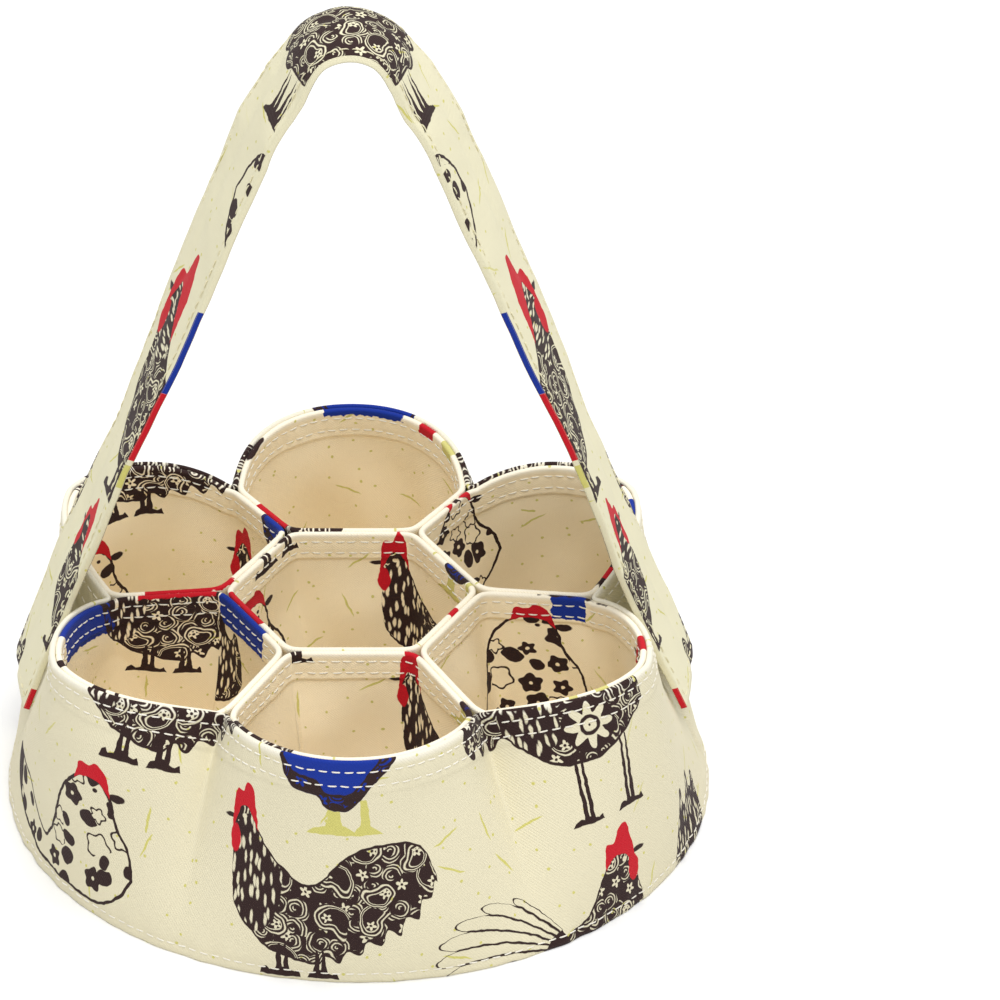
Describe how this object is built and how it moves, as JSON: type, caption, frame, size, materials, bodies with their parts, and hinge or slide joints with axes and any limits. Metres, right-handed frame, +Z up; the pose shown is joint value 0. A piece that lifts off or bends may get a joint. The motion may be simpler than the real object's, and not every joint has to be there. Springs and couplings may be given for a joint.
{
  "type": "egg collection basket",
  "caption": "Round sewn cloth basket with a honeycomb of open egg pockets, a scalloped rim and a strap handle that swings over it.",
  "frame": {"origin": "middle of the round base, on the surface that the basket stands on", "axes": "+Z up through the middle of the handle, +X towards the right-hand sewn end of the handle, +Y towards the back pocket"},
  "size_m": [0.2352, 0.2364, 0.2787],
  "materials": {
    "printed_cloth": "matte printed polyester canvas",
    "lining_cloth": "matte printed polyester canvas",
    "thread": "white polyester sewing thread"
  },
  "bodies": {
    "basket": {"base_panel": "printed_cloth", "base_lining": "lining_cloth", "outer_wall": "printed_cloth", "rim_stitch_upper": "thread", "rim_stitch_lower": "thread", "base_stitch": "thread", "pocket_centre": "lining_cloth", "pocket_back_right": "lining_cloth", "pocket_back": "lining_cloth", "pocket_back_left": "lining_cloth", "pocket_front_left": "lining_cloth", "pocket_front": "lining_cloth", "pocket_front_right": "lining_cloth", "pocket_centre_hem_stitch": "thread", "pocket_back_right_hem_stitch": "thread", "pocket_back_hem_stitch": "thread", "pocket_back_left_hem_stitch": "thread", "pocket_front_left_hem_stitch": "thread", "pocket_front_hem_stitch": "thread", "pocket_front_right_hem_stitch": "thread", "strap_end_right": "printed_cloth", "strap_end_left": "printed_cloth", "strap_tack_right": "thread", "strap_tack_left": "thread"},
    "handle": {"handle_strap": "printed_cloth", "handle_stitch_back": "thread", "handle_stitch_front": "thread"}
  },
  "joints": [
    {"name": "handle_swing", "type": "hinge", "parent": "basket", "child": "handle", "pos_m": [0, 0, 0.093], "axis": [1, 0, 0], "range_deg": [-85, 85]}
  ]
}
